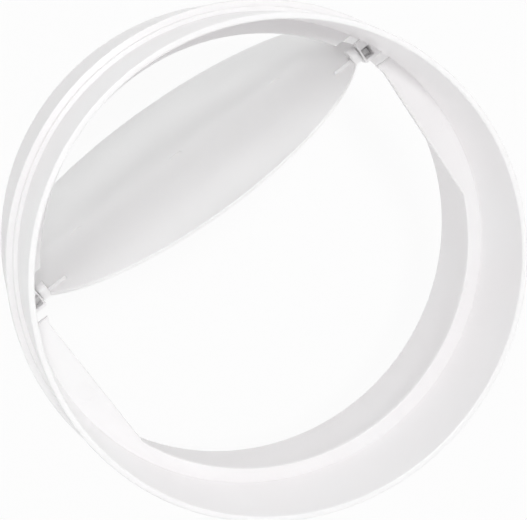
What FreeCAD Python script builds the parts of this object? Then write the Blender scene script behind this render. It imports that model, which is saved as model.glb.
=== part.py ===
"""Backdraft damper for round plastic duct: one moulded ring and one moulded swing flap.

Frame: Z is the duct axis with the inlet spigot up, X is along the hinge, and the origin is on the
duct axis in the plane of the shoulder where the duct's end stops. Lengths are in millimetres.
The flap is stored open and hanging, as gravity leaves it with the spigot up.
"""
import FreeCAD, Part
import math
import os

# Duct and ring sizes
SPIGOT_DIAMETER = 150.0
SPIGOT_LENGTH = 29.7
RING_WALL = 1.9
SOCKET_CLEARANCE = 0.3
SOCKET_LENGTH = 39.0
STEP_WIDTH = 1.5
STEP_HEIGHT = 1.0
COLLAR_WIDTH = 2.1
COLLAR_THICKNESS = 3.0
WEB_THICKNESS = 1.9
LIP_WIDTH = 4.65

# Hinge sizes
HINGE_OFFSET = 32.1
PIN_DIAMETER = 2.8
PIN_LENGTH = 3.6
BEARING_CLEARANCE = 0.07
BEARING_WALL = 1.2
TONGUE_REACH = 4.5
TONGUE_EXTRA = 1.7
LUG_DEPTH = 5.0
TONGUE_GAP = 3.0
WINDOW_LENGTH = 3.2
WINDOW_WIDTH = 3.5
LEAD_IN_DEPTH = 1.3

# Flap sizes
FLAP_THICKNESS = 1.0
FLAP_OPENING = 95.2
PIVOT_HEIGHT = 0.4
PANEL_OVERLAP = 1.1
KNUCKLE_LENGTH = 2.7
KNUCKLE_WIDTH = 5.0
KNUCKLE_HEIGHT = 4.0
KNUCKLE_HOLE_DIAMETER = 1.5
KNUCKLE_HOLE_DEPTH = 2.2
RIB_LENGTH = 6.4
RIB_WIDTH = 1.2
RIB_HEIGHT = 1.0

# Clearances of the moving flap
SEAT_CLEARANCE = 0.3
RIM_CLEARANCE = 1.7
LIP_CLEARANCE = 0.6
SIDE_CLEARANCE = 1.3
NECK_CLEARANCE = 0.4
SHOULDER_CLEARANCE = 1.0

# Edge rounding
RIM_ROUND = 0.45
STEP_ROUND = 0.3
STEP_FILLET = 0.3
SEAT_FILLET = 0.6
ROOT_FILLET = 0.4
LIP_ROUND = 0.25
FLAP_EDGE_ROUND = 0.3
FLAP_CORNER_ROUND = 2.0

# Moulding marks
MARK_DIAMETER = 5.0
MARK_DEPTH = 0.12
MARK_SPACING = 41.0

# Radii of the ring
SPIGOT_OUTER = SPIGOT_DIAMETER / 2
SPIGOT_INNER = SPIGOT_OUTER - RING_WALL
LIP_RADIUS = SPIGOT_INNER - LIP_WIDTH
STEP_RADIUS = SPIGOT_OUTER + STEP_WIDTH
COLLAR_RADIUS = STEP_RADIUS + COLLAR_WIDTH
SOCKET_INNER = SPIGOT_OUTER + SOCKET_CLEARANCE
SOCKET_OUTER = SOCKET_INNER + RING_WALL
COLLAR_REAR_Z = -STEP_HEIGHT - COLLAR_THICKNESS

# Heights of the seat, the closed flap and the hinge axis
SEAT_Z = -WEB_THICKNESS
FLAP_FRONT_Z = SEAT_Z - SEAT_CLEARANCE
FLAP_REAR_Z = FLAP_FRONT_Z - FLAP_THICKNESS
HINGE_Y = -HINGE_OFFSET
HINGE_Z = FLAP_REAR_Z - PIVOT_HEIGHT
OPEN_TILT = math.radians(FLAP_OPENING - 90)

# Hinge lug, seen along the hinge: a bearing of this radius under a wider tongue of the web
PIN_RADIUS = PIN_DIAMETER / 2
BEARING_RADIUS = PIN_RADIUS + BEARING_CLEARANCE
LUG_RADIUS = BEARING_RADIUS + BEARING_WALL
LUG_X = math.sqrt(SPIGOT_INNER**2 - HINGE_Y**2) - TONGUE_REACH
TONGUE_LOW_Y = HINGE_Y - LUG_RADIUS - TONGUE_EXTRA
TONGUE_HIGH_Y = HINGE_Y + LUG_RADIUS
BAY_LOW_Y = TONGUE_LOW_Y - TONGUE_GAP
BAY_HIGH_Y = TONGUE_HIGH_Y + TONGUE_GAP

# Flap outline: it is as wide as the socket lets it be when it hangs open
NECK_X = LUG_X - NECK_CLEARANCE
REAR_REACH = (SOCKET_LENGTH + HINGE_Z) * math.tan(OPEN_TILT)
FLAP_X = math.sqrt(SOCKET_INNER**2 - (HINGE_OFFSET + REAR_REACH)**2) - SIDE_CLEARANCE
FLAP_LARGE_RADIUS = SOCKET_INNER - RIM_CLEARANCE
FLAP_SMALL_RADIUS = LIP_RADIUS - LIP_CLEARANCE
LUG_SWEEP = math.hypot(LUG_RADIUS, HINGE_Z)
SHOULDER_Y = HINGE_Y + LUG_SWEEP + SHOULDER_CLEARANCE
PANEL_X = FLAP_X - PANEL_OVERLAP


def vec(x, y, z):
    return FreeCAD.Vector(x, y, z)


def box(x0, x1, y0, y1, z0, z1):
    return Part.makeBox(x1 - x0, y1 - y0, z1 - z0, vec(x0, y0, z0))


def rounded_face(corners):
    """Closed face from (point, radius) corners, each corner rounded by its radius."""
    edges = []
    starts, ends, middles = [], [], []
    count = len(corners)
    for i in range(count):
        point, radius = corners[i]
        before = (corners[i - 1][0] - point).normalize()
        after = (corners[(i + 1) % count][0] - point).normalize()
        if radius == 0:
            starts.append(point)
            ends.append(point)
            middles.append(None)
            continue
        half = before.getAngle(after) / 2
        back = radius / math.tan(half)
        inward = (before + after).normalize()
        starts.append(point + before * back)
        ends.append(point + after * back)
        middles.append(point + inward * (radius / math.sin(half) - radius))
    for i in range(count):
        if middles[i] is not None:
            edges.append(Part.Arc(starts[i], middles[i], ends[i]).toShape())
        edges.append(Part.LineSegment(ends[i], starts[(i + 1) % count]).toShape())
    return Part.Face(Part.Wire(edges))


def both_sides(shape):
    """The shape and its mirror image in the plane across the hinge."""
    return [shape, shape.mirror(vec(0, 0, 0), vec(1, 0, 0))]


def make_shell():
    """Spigot, stepped collar, seat lip and socket as one revolved profile."""
    profile = [
        (vec(SPIGOT_INNER, 0, SPIGOT_LENGTH), RIM_ROUND),
        (vec(SPIGOT_OUTER, 0, SPIGOT_LENGTH), RIM_ROUND),
        (vec(SPIGOT_OUTER, 0, 0), STEP_FILLET),
        (vec(STEP_RADIUS, 0, 0), STEP_ROUND),
        (vec(STEP_RADIUS, 0, -STEP_HEIGHT), STEP_FILLET),
        (vec(COLLAR_RADIUS, 0, -STEP_HEIGHT), STEP_ROUND),
        (vec(COLLAR_RADIUS, 0, COLLAR_REAR_Z), STEP_ROUND),
        (vec(SOCKET_OUTER, 0, COLLAR_REAR_Z), STEP_FILLET),
        (vec(SOCKET_OUTER, 0, -SOCKET_LENGTH), RIM_ROUND),
        (vec(SOCKET_INNER, 0, -SOCKET_LENGTH), RIM_ROUND),
        (vec(SOCKET_INNER, 0, SEAT_Z), SEAT_FILLET),
        (vec(LIP_RADIUS, 0, SEAT_Z), LIP_ROUND),
        (vec(LIP_RADIUS, 0, 0), LIP_ROUND),
        (vec(SPIGOT_INNER, 0, 0), ROOT_FILLET),
    ]
    return rounded_face(profile).revolve(vec(0, 0, 0), vec(0, 0, 1), 360)


def make_panel():
    """Flat web beside the opening, cut straight where the flap's side seats on it."""
    disc = Part.makeCylinder(SPIGOT_OUTER, WEB_THICKNESS, vec(0, 0, SEAT_Z))
    panel = disc.common(box(PANEL_X, SOCKET_OUTER, BAY_LOW_Y, SOCKET_OUTER, SEAT_Z, 0))
    mark_x = (PANEL_X + SPIGOT_INNER) / 2
    mark = Part.makeCylinder(MARK_DIAMETER / 2, MARK_DEPTH, vec(mark_x, 0, -MARK_DEPTH))
    return panel.cut(mark)


def make_bay():
    """Opening in the web around one hinge tongue, up to the spigot's inner wall."""
    bore = Part.makeCylinder(SPIGOT_INNER, WEB_THICKNESS + ROOT_FILLET, vec(0, 0, SEAT_Z))
    return bore.common(box(0, SPIGOT_OUTER, BAY_LOW_Y, BAY_HIGH_Y, SEAT_Z, ROOT_FILLET))


def make_lug():
    """Hinge tongue of the web with the bearing under it, its window and its snap-in ramp."""
    y0, y1 = HINGE_Y - LUG_RADIUS, HINGE_Y + LUG_RADIUS
    foot = vec(LUG_X, HINGE_Y, HINGE_Z - LUG_RADIUS)
    side = [
        Part.LineSegment(vec(LUG_X, y0, HINGE_Z), vec(LUG_X, y0, 0)).toShape(),
        Part.LineSegment(vec(LUG_X, y0, 0), vec(LUG_X, y1, 0)).toShape(),
        Part.LineSegment(vec(LUG_X, y1, 0), vec(LUG_X, y1, HINGE_Z)).toShape(),
        Part.Arc(vec(LUG_X, y1, HINGE_Z), foot, vec(LUG_X, y0, HINGE_Z)).toShape(),
    ]
    lug = Part.Face(Part.Wire(side)).extrude(vec(LUG_DEPTH, 0, 0))
    disc = Part.makeCylinder(SPIGOT_OUTER, WEB_THICKNESS, vec(0, 0, SEAT_Z))
    tongue = disc.common(box(LUG_X, SPIGOT_OUTER, TONGUE_LOW_Y, TONGUE_HIGH_Y, SEAT_Z, 0))
    bearing = Part.makeCylinder(BEARING_RADIUS, PIN_LENGTH, vec(LUG_X, HINGE_Y, HINGE_Z), vec(1, 0, 0))
    window_x = LUG_X + PIN_LENGTH - WINDOW_LENGTH
    half = WINDOW_WIDTH / 2
    window = box(window_x, window_x + WINDOW_LENGTH, HINGE_Y - half, HINGE_Y + half, HINGE_Z, 0)
    top = vec(LUG_X, 0, HINGE_Z)
    low = HINGE_Z - LUG_RADIUS
    ramp_edges = [top, vec(LUG_X, 0, low), vec(LUG_X + LEAD_IN_DEPTH, 0, low), top]
    ramp = Part.Face(Part.makePolygon(ramp_edges)).extrude(vec(0, 2 * BEARING_RADIUS, 0))
    ramp.translate(vec(0, HINGE_Y - BEARING_RADIUS, 0))
    return lug.fuse(tongue).cut(bearing).cut(window).cut(ramp)


def make_ring():
    ring = make_shell()
    ring = ring.multiFuse(both_sides(make_panel()))
    ring = ring.cut(both_sides(make_bay()))
    ring = ring.multiFuse(both_sides(make_lug()))
    return ring.removeSplitter()


def make_sheet():
    """Flap sheet, closed: a wide large part, and a small part that passes between the lugs."""
    z = FLAP_REAR_Z
    large_y = math.sqrt(FLAP_LARGE_RADIUS**2 - FLAP_X**2)
    small_y = -math.sqrt(FLAP_SMALL_RADIUS**2 - NECK_X**2)
    right = [
        vec(FLAP_X, large_y, z),
        vec(FLAP_X, SHOULDER_Y, z),
        vec(NECK_X, SHOULDER_Y, z),
        vec(NECK_X, small_y, z),
    ]
    left = [vec(-p.x, p.y, z) for p in reversed(right)]
    edges = [Part.LineSegment(right[i], right[i + 1]).toShape() for i in range(3)]
    edges.append(Part.Arc(right[3], vec(0, -FLAP_SMALL_RADIUS, z), left[0]).toShape())
    edges += [Part.LineSegment(left[i], left[i + 1]).toShape() for i in range(3)]
    edges.append(Part.Arc(left[3], vec(0, FLAP_LARGE_RADIUS, z), right[0]).toShape())
    sheet = Part.Face(Part.Wire(edges)).extrude(vec(0, 0, FLAP_THICKNESS))
    corners = [e for e in sheet.Edges if abs(e.BoundBox.ZLength - FLAP_THICKNESS) < 1e-6]
    sheet = sheet.makeFillet(FLAP_CORNER_ROUND, corners)
    rims = [e for e in sheet.Edges if e.BoundBox.ZLength < 1e-6]
    return sheet.makeFillet(FLAP_EDGE_ROUND, rims)


def make_knuckle():
    """One end of the hinge: D-shaped knuckle with a core hole, its pin and the rib beside it."""
    half = KNUCKLE_WIDTH / 2
    inner_x = NECK_X - KNUCKLE_LENGTH
    base_z = FLAP_FRONT_Z - FLAP_EDGE_ROUND
    spring_z = FLAP_REAR_Z - KNUCKLE_HEIGHT + half
    y0, y1 = HINGE_Y - half, HINGE_Y + half
    foot = vec(inner_x, HINGE_Y, spring_z - half)
    section = [
        Part.LineSegment(vec(inner_x, y0, spring_z), vec(inner_x, y0, base_z)).toShape(),
        Part.LineSegment(vec(inner_x, y0, base_z), vec(inner_x, y1, base_z)).toShape(),
        Part.LineSegment(vec(inner_x, y1, base_z), vec(inner_x, y1, spring_z)).toShape(),
        Part.Arc(vec(inner_x, y1, spring_z), foot, vec(inner_x, y0, spring_z)).toShape(),
    ]
    knuckle = Part.Face(Part.Wire(section)).extrude(vec(KNUCKLE_LENGTH, 0, 0))
    mouth = vec(inner_x, HINGE_Y, spring_z)
    hole = Part.makeCylinder(KNUCKLE_HOLE_DIAMETER / 2, KNUCKLE_HOLE_DEPTH, mouth, vec(1, 0, 0))
    tip_x = LUG_X + PIN_LENGTH - NECK_CLEARANCE
    pin = Part.makeCylinder(PIN_RADIUS, tip_x - inner_x - KNUCKLE_HOLE_DEPTH,
                            vec(inner_x + KNUCKLE_HOLE_DEPTH, HINGE_Y, HINGE_Z), vec(1, 0, 0))
    tip = [e for e in pin.Edges if abs(e.BoundBox.XMin - tip_x) < 1e-6 and e.BoundBox.XLength < 1e-6]
    pin = pin.makeFillet(PIN_RADIUS / 3, tip)
    rib_y = HINGE_Y - RIB_WIDTH / 2
    rib = box(inner_x - RIB_LENGTH, inner_x, rib_y, rib_y + RIB_WIDTH, FLAP_REAR_Z - RIB_HEIGHT, base_z)
    return knuckle.cut(hole).multiFuse([pin, rib])


def make_flap():
    flap = make_sheet().multiFuse(both_sides(make_knuckle()))
    mark = Part.makeCylinder(MARK_DIAMETER / 2, MARK_DEPTH, vec(0, 0, FLAP_REAR_Z))
    flap = flap.cut([mark.translated(vec(i * MARK_SPACING, 0, 0)) for i in (-1, 0, 1)])
    flap = flap.removeSplitter()
    flap.rotate(vec(0, HINGE_Y, HINGE_Z), vec(-1, 0, 0), FLAP_OPENING)
    return flap


os.makedirs("parts", exist_ok=True)
for name, shape in (("ring", make_ring()), ("flap", make_flap())):
    solid = shape.Solids[0]
    print(name, len(shape.Solids), shape.isValid(), round(solid.Volume / 1000, 2), "cm3", shape.BoundBox)
    solid.exportStep("parts/" + name + ".step")
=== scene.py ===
# %% [markdown]
# # A backdraft damper for a round duct, in white moulded plastic
#
# The real object is two injection mouldings: a stepped ring that joins two lengths of duct, and a
# thin flap that swings in it on two short pins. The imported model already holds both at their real
# size. This lesson gives them their plastic, their light and the view of the photograph, and makes
# the ring again as a rule in Geometry Nodes, so that its sizes can be changed by name.

import math
import bpy
from mathutils import Matrix, Vector


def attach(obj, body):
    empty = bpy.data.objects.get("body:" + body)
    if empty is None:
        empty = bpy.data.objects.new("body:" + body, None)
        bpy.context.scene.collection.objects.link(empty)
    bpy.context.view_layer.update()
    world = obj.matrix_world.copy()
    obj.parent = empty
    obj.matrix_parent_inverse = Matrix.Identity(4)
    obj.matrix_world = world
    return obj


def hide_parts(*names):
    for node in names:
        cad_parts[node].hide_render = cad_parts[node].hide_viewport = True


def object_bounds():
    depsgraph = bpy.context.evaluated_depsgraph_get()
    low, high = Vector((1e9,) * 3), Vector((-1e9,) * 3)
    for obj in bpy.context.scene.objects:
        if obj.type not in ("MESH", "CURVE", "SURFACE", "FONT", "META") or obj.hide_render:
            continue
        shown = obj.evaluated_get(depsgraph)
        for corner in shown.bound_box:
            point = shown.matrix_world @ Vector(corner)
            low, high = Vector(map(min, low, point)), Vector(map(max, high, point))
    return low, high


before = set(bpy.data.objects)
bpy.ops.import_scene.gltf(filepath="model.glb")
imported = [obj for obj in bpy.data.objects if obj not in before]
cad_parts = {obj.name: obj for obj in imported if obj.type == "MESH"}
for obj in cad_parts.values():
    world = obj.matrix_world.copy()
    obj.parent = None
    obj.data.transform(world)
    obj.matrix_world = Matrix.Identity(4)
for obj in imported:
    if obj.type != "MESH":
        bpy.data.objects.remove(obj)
cad_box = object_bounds()
scene = bpy.context.scene
scene.view_settings.view_transform = "Standard"
print("nodes:", sorted(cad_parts), "box:", [tuple(round(c, 4) for c in p) for p in cad_box])

# %% [markdown]
# ## The camera
#
# The photograph looks into the spigot from above, rolled far over, so the hinge runs up to the
# right. A camera that is aimed with a constraint keeps its horizon level and loses that roll. Here
# the camera's own right, up and backward axes are written as the columns of its matrix instead.

# %% Camera
camera_data = bpy.data.cameras.new("photo_camera")
camera_data.lens = 91.67
camera_data.sensor_fit = "HORIZONTAL"
camera_data.sensor_width = 36.0
camera_data.clip_start = 0.01
camera = bpy.data.objects.new("photo_camera", camera_data)
scene.collection.objects.link(camera)
camera_right = Vector((-0.78927, 0.55595, 0.26069))
camera_up = Vector((-0.60565, -0.77481, -0.18129))
camera_back = camera_right.cross(camera_up)
camera_place = Vector((0.04254, -0.12446, 0.39424))
camera.matrix_world = Matrix((
    (camera_right.x, camera_up.x, camera_back.x, camera_place.x),
    (camera_right.y, camera_up.y, camera_back.y, camera_place.y),
    (camera_right.z, camera_up.z, camera_back.z, camera_place.z),
    (0.0, 0.0, 0.0, 1.0),
))
scene.camera = camera
print("camera looks along", tuple(round(c, 3) for c in -camera_back))

# %% [markdown]
# ## The floor
#
# The object stands on plain white. A floor that is lit to pure white would need so much light that
# the white plastic burns out, so the floor glows for the rays that look straight at it, and is
# plain matt paint for all the light that bounces. A share of the paint stays in view, and carries
# the shadow.

# %% Floor
def white_in_view(nodes, links, share):
    """A factor that is the share for camera, mirror and see-through rays, and 0 for other rays."""
    path = nodes.new("ShaderNodeLightPath")
    mirrored = nodes.new("ShaderNodeMath")
    mirrored.operation = "MAXIMUM"
    links.new(path.outputs["Is Camera Ray"], mirrored.inputs[0])
    links.new(path.outputs["Is Glossy Ray"], mirrored.inputs[1])
    through = nodes.new("ShaderNodeMath")
    through.operation = "MAXIMUM"
    links.new(mirrored.outputs[0], through.inputs[0])
    links.new(path.outputs["Is Transmission Ray"], through.inputs[1])
    part = nodes.new("ShaderNodeMath")
    part.operation = "MULTIPLY"
    part.inputs[1].default_value = share
    links.new(through.outputs[0], part.inputs[0])
    return part.outputs[0]


floor_gap = 0.0005
floor_z = cad_box[0].z - floor_gap
floor_reach = 3.0
floor_bounce = 0.8
floor_in_view = 0.92
floor_mesh = bpy.data.meshes.new("floor")
floor_corners = [(x * floor_reach, y * floor_reach, floor_z)
                 for x, y in ((-1, -1), (1, -1), (1, 1), (-1, 1))]
floor_mesh.from_pydata(floor_corners, [], [(0, 1, 2, 3)])
floor = bpy.data.objects.new("floor", floor_mesh)
scene.collection.objects.link(floor)

floor_paint = bpy.data.materials.new("pale_floor")
floor_paint.use_nodes = True
nodes, links = floor_paint.node_tree.nodes, floor_paint.node_tree.links
nodes.clear()
matt = nodes.new("ShaderNodeBsdfDiffuse")
matt.inputs["Color"].default_value = (floor_bounce, floor_bounce, floor_bounce, 1)
glow = nodes.new("ShaderNodeEmission")
glow.inputs["Color"].default_value = (1, 1, 1, 1)
mix = nodes.new("ShaderNodeMixShader")
links.new(white_in_view(nodes, links, floor_in_view), mix.inputs["Fac"])
links.new(matt.outputs[0], mix.inputs[1])
links.new(glow.outputs[0], mix.inputs[2])
floor_out = nodes.new("ShaderNodeOutputMaterial")
links.new(mix.outputs[0], floor_out.inputs["Surface"])
floor_mesh.materials.append(floor_paint)
print("floor at", round(floor_z * 1000, 1), "mm")

# %% [markdown]
# ## The light
#
# The photograph has almost no dark in it, and yet no face burns out. A white tent gives nearly all
# of that light, and here it is the world's own light. It is lightest at middle height and towards
# one side, and it fades out at its foot and overhead, because light from straight above would burn
# out the level faces of the collar and the lip. One small lamp stands high on the hinge's side, and
# lays the rim's shadow over the flap. A wide lamp would blur that shadow until it is lost.

# %% Tent
tent_low = 1.03
tent_high = 1.46
tent_foot = 0.0
tent_top = 0.0
tent_rise = 0.45
tent_fall = 0.6
tent_lightest = Vector((-0.35, 0.35, 0.3)).normalized()
tent_lowest_at = -0.5
tent_in_view = 0.985

world = bpy.data.worlds.new("white_tent")
scene.world = world
world.use_nodes = True
nodes, links = world.node_tree.nodes, world.node_tree.links
nodes.clear()
direction = nodes.new("ShaderNodeTexCoord").outputs["Generated"]
towards_lighter = nodes.new("ShaderNodeVectorMath")
towards_lighter.operation = "DOT_PRODUCT"
towards_lighter.inputs[1].default_value = tent_lightest
links.new(direction, towards_lighter.inputs[0])
tent_level = nodes.new("ShaderNodeMapRange")
tent_level.inputs["From Min"].default_value = tent_lowest_at
tent_level.inputs["From Max"].default_value = 1.0
tent_level.inputs["To Min"].default_value = tent_low
tent_level.inputs["To Max"].default_value = tent_high
links.new(towards_lighter.outputs["Value"], tent_level.inputs["Value"])
height = nodes.new("ShaderNodeSeparateXYZ")
links.new(direction, height.inputs[0])
by_height = nodes.new("ShaderNodeValToRGB")
stops = by_height.color_ramp.elements
stops[0].position, stops[0].color = 0.0, (tent_foot, tent_foot, tent_foot, 1)
stops[1].position, stops[1].color = 1.0, (tent_top, tent_top, tent_top, 1)
for place in (tent_rise, tent_fall):
    stops.new(place).color = (1, 1, 1, 1)
links.new(height.outputs["Z"], by_height.inputs["Fac"])
tent_strength = nodes.new("ShaderNodeMath")
tent_strength.operation = "MULTIPLY"
links.new(tent_level.outputs["Result"], tent_strength.inputs[0])
links.new(by_height.outputs["Color"], tent_strength.inputs[1])
tent = nodes.new("ShaderNodeBackground")
tent.inputs["Color"].default_value = (1, 1, 1, 1)
links.new(tent_strength.outputs[0], tent.inputs["Strength"])
seen = nodes.new("ShaderNodeBackground")
seen.inputs["Color"].default_value = (tent_in_view, tent_in_view, tent_in_view, 1)
mix = nodes.new("ShaderNodeMixShader")
links.new(white_in_view(nodes, links, 1.0), mix.inputs["Fac"])
links.new(tent.outputs[0], mix.inputs[1])
links.new(seen.outputs[0], mix.inputs[2])
world_out = nodes.new("ShaderNodeOutputWorld")
links.new(mix.outputs[0], world_out.inputs["Surface"])
print("tent from", tent_low, "to", tent_high)

# %% Lamp
lamp_watts = 5.0
lamp_size = 0.15
lamp_distance = 1.3
lamp_from = Vector((-0.02, -0.30, 1.0)).normalized()
lamp_data = bpy.data.lights.new("soft_lamp", "AREA")
lamp_data.shape = "DISK"
lamp_data.size = lamp_size
lamp_data.energy = lamp_watts
lamp = bpy.data.objects.new("soft_lamp", lamp_data)
scene.collection.objects.link(lamp)
lamp.location = lamp_from * lamp_distance
lamp.rotation_euler = lamp_from.to_track_quat("Z", "Y").to_euler()
print("lamp at", tuple(round(c, 2) for c in lamp.location))

# %% [markdown]
# ## White moulded plastic
#
# White plastic is milky: light passes a little way into it and comes out beside the place where it
# went in, so thin walls never look as hard as painted metal. Subsurface scattering does that here.
# Polished moulds also leave a satin skin that is never quite even: the gloss drifts where the
# plastic cooled faster, and a fine grain breaks up the highlights. Two noises on Object coordinates
# drive the colour and the gloss, and a finer one drives a slight bump. The roughness stays above
# 0.28 all over, because a drift from nearly mirror-like to satin leaves blotches when the picture
# is cleaned of noise.

# %% White plastic
def noise(nodes, links, place, scale, detail):
    """A cloud of values from 0 to 1; scale is about how many of its spots fit in one metre."""
    texture = nodes.new("ShaderNodeTexNoise")
    texture.inputs["Scale"].default_value = scale
    texture.inputs["Detail"].default_value = detail
    links.new(place, texture.inputs["Vector"])
    return texture.outputs["Fac"]


def drift(nodes, links, value, low, high):
    """Maps the middle of a noise, where nearly all of it lies, to the span from low to high."""
    span = nodes.new("ShaderNodeMapRange")
    span.inputs["From Min"].default_value = 0.3
    span.inputs["From Max"].default_value = 0.7
    span.inputs["To Min"].default_value = low
    span.inputs["To Max"].default_value = high
    links.new(value, span.inputs["Value"])
    return span.outputs["Result"]


refraction = 1.49
shade_drift = 0.012
tint_shares = (("Red", 1.0), ("Green", 0.985), ("Blue", 0.991))
grain_height = 0.0002
grain_strength = 0.06
cooling_scale, gloss_scale, grain_scale = 22.0, 55.0, 900.0


def white_plastic(name, shade, gloss_low, gloss_high, milkiness):
    """White with a drifting shade and roughness; milkiness is how deep light goes, in metres."""
    plastic = bpy.data.materials.new(name)
    plastic.use_nodes = True
    nodes, links = plastic.node_tree.nodes, plastic.node_tree.links
    skin = nodes["Principled BSDF"]
    place = nodes.new("ShaderNodeTexCoord").outputs["Object"]
    cooling = noise(nodes, links, place, cooling_scale, 2.0)
    tint = nodes.new("ShaderNodeCombineColor")
    for channel, share in tint_shares:
        low, high = (shade - shade_drift) * share, (shade + shade_drift) * share
        links.new(drift(nodes, links, cooling, low, high), tint.inputs[channel])
    links.new(tint.outputs[0], skin.inputs["Base Color"])
    polish = noise(nodes, links, place, gloss_scale, 3.0)
    links.new(drift(nodes, links, polish, gloss_low, gloss_high), skin.inputs["Roughness"])
    bump = nodes.new("ShaderNodeBump")
    bump.inputs["Strength"].default_value = grain_strength
    bump.inputs["Distance"].default_value = grain_height
    links.new(noise(nodes, links, place, grain_scale, 4.0), bump.inputs["Height"])
    links.new(bump.outputs[0], skin.inputs["Normal"])
    skin.inputs["IOR"].default_value = refraction
    skin.inputs["Subsurface Weight"].default_value = 1.0
    skin.inputs["Subsurface Radius"].default_value = (1.0, 1.0, 1.0)
    skin.inputs["Subsurface Scale"].default_value = milkiness
    return plastic


# Both mouldings are the same white plastic. The ring's shade is set lower, as painted shade that
# dims its outer walls and level faces, and the flap's is set higher, as painted light on the
# hanging flap.
ring_plastic = white_plastic("white_ring_plastic", 0.92, 0.29, 0.37, 0.002)
flap_plastic = white_plastic("white_flap_plastic", 0.985, 0.29, 0.38, 0.003)
print("materials:", ring_plastic.name, flap_plastic.name)

# %% [markdown]
# ## The ring: a profile that is turned
#
# The real ring is a moulding, but nearly all of it is one outline carried round the duct's axis:
# the spigot's wall, the two steps of the collar, the socket and the lip that the flap shuts
# against. Such a shape could be spun in mesh code or cut from cylinders. Geometry Nodes suit it
# better, because the outline stays a rule with named sizes: fourteen corners, each with its own
# round, swept along a circle.

# %% Sizes of the ring
ring_sizes = {
    "Spigot radius": 0.0750, "Spigot height": 0.0297, "Wall": 0.0019, "Step width": 0.0015,
    "Step height": 0.0010, "Collar width": 0.0021, "Collar foot": 0.0040, "Socket bore": 0.0753,
    "Socket depth": 0.0390, "Web": 0.0019, "Lip width": 0.00465, "Rim round": 0.00045,
    "Step round": 0.0003, "Seat fillet": 0.0006, "Root fillet": 0.0004, "Lip round": 0.00025,
    "Panel edge": 0.064102, "Mark radius": 0.0025, "Mark depth": 0.00012, "Hinge offset": 0.0321,
    "Hinge drop": 0.0036, "Lug face": 0.061175, "Lug depth": 0.0050, "Bearing radius": 0.00147,
    "Bearing wall": 0.0012, "Bearing depth": 0.0036, "Tongue extra": 0.0017, "Bay gap": 0.0030,
    "Window length": 0.0032, "Window width": 0.0035, "Lead in": 0.0013,
}
ring_tree = bpy.data.node_groups.new("moulded_ring", "GeometryNodeTree")
size_ids = {}
for name, metres in ring_sizes.items():
    socket = ring_tree.interface.new_socket(name, in_out="INPUT", socket_type="NodeSocketFloat")
    socket.default_value = metres
    size_ids[name] = socket.identifier
plastic_id = ring_tree.interface.new_socket(
    "Plastic", in_out="INPUT", socket_type="NodeSocketMaterial").identifier
ring_tree.interface.new_socket("Ring", in_out="OUTPUT", socket_type="NodeSocketGeometry")
size = ring_tree.nodes.new("NodeGroupInput").outputs
print("the ring has", len(size_ids), "named sizes")


# %% Short words for nodes
def add(kind, fills, **settings):
    """Adds a node to the ring's tree, fills its sockets and gives back its first output."""
    made = ring_tree.nodes.new(kind)
    for setting, value in settings.items():
        setattr(made, setting, value)
    for place, value in fills.items():
        for part in value if isinstance(value, list) else [value]:
            if isinstance(part, bpy.types.NodeSocket):
                ring_tree.links.new(part, made.inputs[place])
            else:
                made.inputs[place].default_value = part
    return made.outputs[0]


def plus(a, b):
    return add("ShaderNodeMath", {0: a, 1: b}, operation="ADD")


def minus(a, b):
    return add("ShaderNodeMath", {0: a, 1: b}, operation="SUBTRACT")


def times(a, b):
    return add("ShaderNodeMath", {0: a, 1: b}, operation="MULTIPLY")


def halfway(a, b):
    return times(plus(a, b), 0.5)


def spot(x, y, z):
    return add("ShaderNodeCombineXYZ", {0: x, 1: y, 2: z})


def by_index(kind, values):
    """Gives point 0 the first value, point 1 the second, and so on."""
    switch = ring_tree.nodes.new("GeometryNodeIndexSwitch")
    switch.data_type = kind
    while len(switch.index_switch_items) < len(values):
        switch.index_switch_items.new()
    ring_tree.links.new(add("GeometryNodeInputIndex", {}), switch.inputs[0])
    for i, value in enumerate(values):
        ring_tree.links.new(value, switch.inputs[i + 1])
    return switch.outputs[0]


print("words for nodes: add, plus, minus, times, halfway, spot, by_index")

# %% The outline, swept round the duct
spigot = size["Spigot radius"]
bore = minus(spigot, size["Wall"])
step = plus(spigot, size["Step width"])
collar = plus(step, size["Collar width"])
socket_wall = plus(size["Socket bore"], size["Wall"])
lip = minus(bore, size["Lip width"])
rim, step_round = size["Rim round"], size["Step round"]
# Each corner has a radius, a size for its height, up (1), down (-1) or level (0), and a round
corners = [
    (bore, size["Spigot height"], 1, rim),
    (spigot, size["Spigot height"], 1, rim),
    (spigot, size["Web"], 0, step_round),
    (step, size["Web"], 0, step_round),
    (step, size["Step height"], -1, step_round),
    (collar, size["Step height"], -1, step_round),
    (collar, size["Collar foot"], -1, step_round),
    (socket_wall, size["Collar foot"], -1, step_round),
    (socket_wall, size["Socket depth"], -1, rim),
    (size["Socket bore"], size["Socket depth"], -1, rim),
    (size["Socket bore"], size["Web"], -1, size["Seat fillet"]),
    (lip, size["Web"], -1, size["Lip round"]),
    (lip, size["Web"], 0, size["Lip round"]),
    (bore, size["Web"], 0, size["Root fillet"]),
]
round_sides = 288
corner_steps = 4
dots = add("GeometryNodeMeshLine", {"Count": len(corners)})
outline = add("GeometryNodeMeshToCurve", {"Mesh": dots})
outline = add("GeometryNodeSetSplineCyclic", {"Geometry": outline, "Cyclic": True})
# Swept along a circle, the outline's X points outwards and its Y points down
places = [spot(minus(r, spigot), times(z, -side), 0.0) for r, z, side, _ in corners]
places = by_index("VECTOR", places)
outline = add("GeometryNodeSetPosition", {"Geometry": outline, "Position": places})
rounds = by_index("FLOAT", [r for _, _, _, r in corners])
outline = add("GeometryNodeFilletCurve",
              {"Curve": outline, "Count": corner_steps, "Radius": rounds}, mode="POLY")
circle = add("GeometryNodeCurvePrimitiveCircle",
             {"Resolution": round_sides, "Radius": spigot}, mode="RADIUS")
shell = add("GeometryNodeCurveToMesh", {"Curve": circle, "Profile Curve": outline})
print("outline of", len(corners), "corners")

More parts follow.
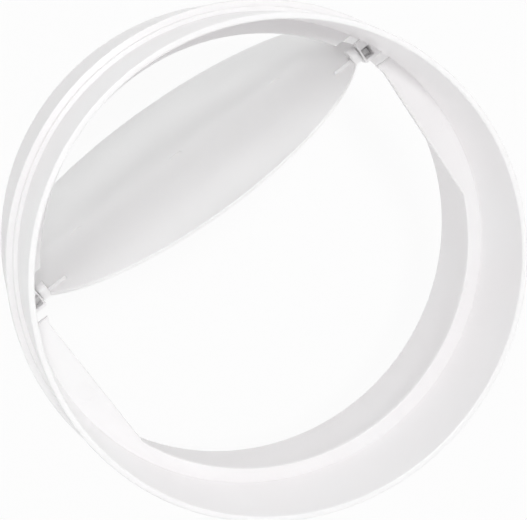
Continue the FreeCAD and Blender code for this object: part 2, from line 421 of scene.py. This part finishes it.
# %% [markdown]
# ## Panels and hinge bays
#
# Two flat panels close the round opening to the straight sides of the flap. Beside them the web is
# cut away in two bays, and a tongue in each bay carries a bearing lug with a square window, through
# which the mould's core was drawn, and a ramp that lets the flap's pin snap in. All of it comes in
# pairs, so each piece is made once in the same tree, mirrored to the hinge's other end, and welded
# on or cut out.

# %% Blocks, pegs and pairs
def block(x0, x1, y0, y1, z0, z1):
    spans = spot(minus(x1, x0), minus(y1, y0), minus(z1, z0))
    middle = spot(halfway(x0, x1), halfway(y0, y1), halfway(z0, z1))
    cube = add("GeometryNodeMeshCube", {"Size": spans})
    return add("GeometryNodeTransform", {"Geometry": cube, "Translation": middle})


def peg(radius, length, middle, along_hinge, sides):
    rod = add("GeometryNodeMeshCylinder", {"Vertices": sides, "Radius": radius, "Depth": length})
    turn = (0.0, math.pi / 2 if along_hinge else 0.0, 0.0)
    return add("GeometryNodeTransform", {"Geometry": rod, "Translation": middle, "Rotation": turn})


def pair(half):
    other = add("GeometryNodeTransform", {"Geometry": half, "Scale": (-1.0, 1.0, 1.0)})
    other = add("GeometryNodeFlipFaces", {"Mesh": other})
    return add("GeometryNodeJoinGeometry", {0: [half, other]})


def carve(operation, body, tools):
    """Welds tools to a body, cuts them out of it, or keeps what they share."""
    first, rest = ({}, [body] + tools) if operation != "DIFFERENCE" else ({0: body}, tools)
    fills = {**first, 1: rest}
    return add("GeometryNodeMeshBoolean", fills, operation=operation, solver="MANIFOLD")


print("words for solids: block, peg, pair, carve")

# %% Panels and bays
hinge_y = times(size["Hinge offset"], -1.0)
hinge_z = times(size["Hinge drop"], -1.0)
seat_z = times(size["Web"], -1.0)
lug_radius = plus(size["Bearing radius"], size["Bearing wall"])
tongue_low = minus(minus(hinge_y, lug_radius), size["Tongue extra"])
tongue_high = plus(hinge_y, lug_radius)
bay_low, bay_high = minus(tongue_low, size["Bay gap"]), plus(tongue_high, size["Bay gap"])
in_wall = minus(spigot, times(size["Wall"], 0.5))
# Tools reach past the faces they cut, and the bays stop a hair short of the bore, to spare the wall
past_face = 0.001
hair = 0.00001
bay_cut = 0.003
bay_start, bay_half_height = 0.02, 0.004
mark_sides = 48
web = peg(in_wall, size["Web"], spot(0.0, 0.0, times(seat_z, 0.5)), False, round_sides)
panel_span = block(size["Panel edge"], spigot, bay_low, spigot, minus(seat_z, past_face), past_face)
shell = carve("UNION", shell, [pair(carve("INTERSECT", web, [panel_span]))])
through_place = spot(0.0, 0.0, minus(size["Root fillet"], bay_cut / 2))
through = peg(minus(bore, hair), bay_cut, through_place, False, round_sides)
bay_span = block(bay_start, spigot, bay_low, bay_high, -bay_half_height, bay_half_height)
shell = carve("DIFFERENCE", shell, [pair(carve("INTERSECT", through, [bay_span]))])
mark_place = spot(halfway(size["Panel edge"], bore), 0.0, 0.0)
mark = peg(size["Mark radius"], times(size["Mark depth"], 2.0), mark_place, False, mark_sides)
shell = carve("DIFFERENCE", shell, [pair(mark)])
print("panel edges at", round(ring_sizes["Panel edge"] * 1000, 1), "mm to each side of the middle")

# %% Tongues and lugs
face = size["Lug face"]
lug_end, pin_end = plus(face, size["Lug depth"]), plus(face, size["Bearing depth"])
bearing_sides = 64
tongue_span = block(face, spigot, tongue_low, tongue_high, minus(seat_z, past_face), past_face)
tongue = carve("INTERSECT", web, [tongue_span])
lug_low, lug_high = minus(hinge_y, lug_radius), plus(hinge_y, lug_radius)
lug_block = block(face, lug_end, lug_low, lug_high, hinge_z, 0.0)
lug_place = spot(halfway(face, lug_end), hinge_y, hinge_z)
lug_foot = peg(lug_radius, size["Lug depth"], lug_place, True, bearing_sides)
shell = carve("UNION", shell, [pair(carve("UNION", tongue, [lug_block, lug_foot]))])
before = minus(face, past_face)
pin_place = spot(halfway(before, pin_end), hinge_y, hinge_z)
bearing = peg(size["Bearing radius"], minus(pin_end, before), pin_place, True, bearing_sides)
half_window = times(size["Window width"], 0.5)
window = block(minus(pin_end, size["Window length"]), pin_end,
               minus(hinge_y, half_window), plus(hinge_y, half_window), hinge_z, past_face)
print("tongue, lug, bearing and window for each end of the hinge")

# %% Ramps
# The ramp's tool goes past the lug's foot by one share in height and in depth, so its slope stays
ramp_share = 1.2
ramp_low = minus(hinge_z, times(lug_radius, ramp_share))
ramp_toe = plus(face, times(size["Lead in"], ramp_share))
ramp_sides = [minus(hinge_y, size["Bearing radius"]), plus(hinge_y, size["Bearing radius"])]
ramp_spots = [spot(x, y, ramp_low) for y in ramp_sides for x in (before, ramp_toe)]
ramp_spots += [spot(x, y, hinge_z) for y in ramp_sides for x in (before, face)]
ramp_start = add("GeometryNodeMeshCube", {})
ramp_spots = by_index("VECTOR", ramp_spots)
ramp = add("GeometryNodeSetPosition", {"Geometry": ramp_start, "Position": ramp_spots})
shell = carve("DIFFERENCE", shell, [pair(bearing), pair(window), pair(ramp)])
print("a ramp on each lug, and the bearings and windows cut")

# %% The finished ring
weld_distance = 0.000001
crease_angle = math.radians(32)
shell = add("GeometryNodeMergeByDistance", {"Geometry": shell, "Distance": weld_distance})
shell = add("GeometryNodeSetShadeSmooth", {"Geometry": shell, "Shade Smooth": True}, domain="FACE")
edge_angle = add("GeometryNodeInputMeshEdgeAngle", {})
crease = add("FunctionNodeCompare", {0: edge_angle, 1: crease_angle}, operation="GREATER_THAN")
shell = add("GeometryNodeSetShadeSmooth",
            {"Geometry": shell, "Selection": crease, "Shade Smooth": False}, domain="EDGE")
shell = add("GeometryNodeRealizeInstances", {"Geometry": shell})
shell = add("GeometryNodeSetMaterial", {"Geometry": shell, "Material": size["Plastic"]})
ring_tree.links.new(shell, ring_tree.nodes.new("NodeGroupOutput").inputs[0])

ring_piece = bpy.data.objects.new("moulded_ring", bpy.data.meshes.new("moulded_ring_start"))
scene.collection.objects.link(ring_piece)
ring_maker = ring_piece.modifiers.new("moulded_ring", "NODES")
ring_maker.node_group = ring_tree
for name, metres in ring_sizes.items():
    ring_maker[size_ids[name]] = metres
ring_maker[plastic_id] = ring_plastic
bpy.context.view_layer.update()
made_ring = ring_piece.evaluated_get(bpy.context.evaluated_depsgraph_get())
ring_mesh = bpy.data.meshes.new_from_object(made_ring)
ring_piece.modifiers.remove(ring_maker)
ring_piece.data = ring_mesh
# The cutting leaves an empty first slot behind, so the mesh gets its one plastic again
ring_mesh.materials.clear()
ring_mesh.materials.append(ring_plastic)
ring_mesh.polygons.foreach_set("material_index", [0] * len(ring_mesh.polygons))
print("moulded ring:", len(ring_mesh.polygons), "faces")

# %% [markdown]
# ## Putting the pieces on their bodies
#
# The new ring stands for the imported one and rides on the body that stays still. The flap's packed
# solid already has its knuckles, pins and ribs in the right places, and a thin moulded sheet gains
# nothing from being made twice, so it stays as it is and only gets the plastic.

# %% Ring and flap
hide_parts("ring")
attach(ring_piece, "ring_body")
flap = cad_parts["flap"]
flap.data.materials.clear()
flap.data.materials.append(flap_plastic)
print("flap and ring have", flap.data.materials[0].name, "and", ring_mesh.materials[0].name)
